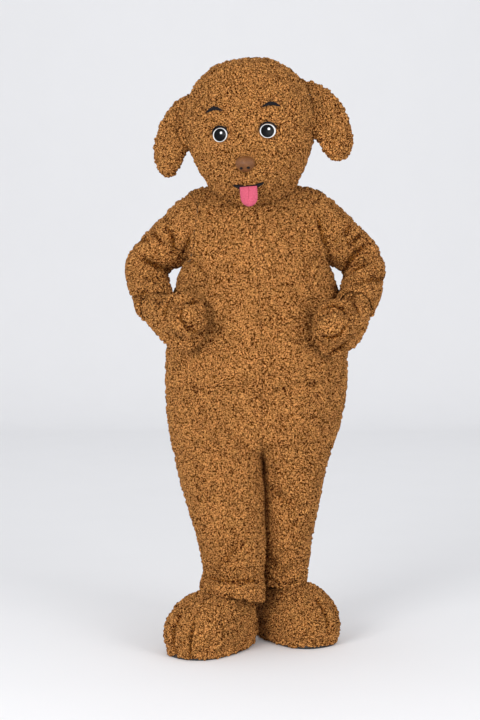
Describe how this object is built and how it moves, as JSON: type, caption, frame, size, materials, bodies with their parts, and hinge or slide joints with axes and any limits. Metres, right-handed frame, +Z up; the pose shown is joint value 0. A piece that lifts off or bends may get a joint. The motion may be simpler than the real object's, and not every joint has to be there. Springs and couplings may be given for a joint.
{
  "type": "dog mascot costume",
  "caption": "Full-body dog mascot costume in curly brown fur: jumpsuit, round head with floppy ears, fist mitts and paw shoes, posed with the fists on the hips.",
  "frame": {"origin": "between the wearer's shoulders, level with the shoulder line, where the costume hangs from the wearer", "axes": "+Z up, -Y the way the costume faces, +X the wearer's left"},
  "size_m": [0.8258, 0.4965, 1.8456],
  "materials": {
    "brown_fur": "curly teddy fur",
    "zip_tape": "woven tape",
    "eye_white": "gloss",
    "eye_black": "gloss",
    "black_felt": "felt",
    "nose_leather": "soft leather",
    "pink_fleece": "fleece",
    "sole_rubber": "matt ribbed rubber"
  },
  "bodies": {
    "root": {"front_left": "brown_fur", "front_right": "brown_fur", "back_left": "brown_fur", "back_right": "brown_fur", "sleeve_left": "brown_fur", "sleeve_right": "brown_fur", "head_face": "brown_fur", "head_side_left": "brown_fur", "head_side_right": "brown_fur", "head_back_left": "brown_fur", "head_back_right": "brown_fur", "head_crown": "brown_fur", "ear_left_front": "brown_fur", "ear_left_back": "brown_fur", "ear_right_front": "brown_fur", "ear_right_back": "brown_fur", "mitt_back_left": "brown_fur", "mitt_palm_left": "brown_fur", "mitt_thumb_left": "brown_fur", "mitt_back_right": "brown_fur", "mitt_palm_right": "brown_fur", "mitt_thumb_right": "brown_fur", "shoe_front_left": "brown_fur", "shoe_heel_left": "brown_fur", "shoe_front_right": "brown_fur", "shoe_heel_right": "brown_fur", "back_zip": "zip_tape", "eye_left": "eye_white", "eye_right": "eye_white", "glint_left": "eye_white", "glint_right": "eye_white", "pupil_left": "eye_black", "pupil_right": "eye_black", "lid_left": "eye_black", "lid_right": "eye_black", "brow_left": "black_felt", "brow_right": "black_felt", "mouth": "black_felt", "nostril_left": "black_felt", "nostril_right": "black_felt", "nose": "nose_leather", "tongue": "pink_fleece", "shoe_sole_left": "sole_rubber", "shoe_sole_right": "sole_rubber"}
  },
  "joints": []
}
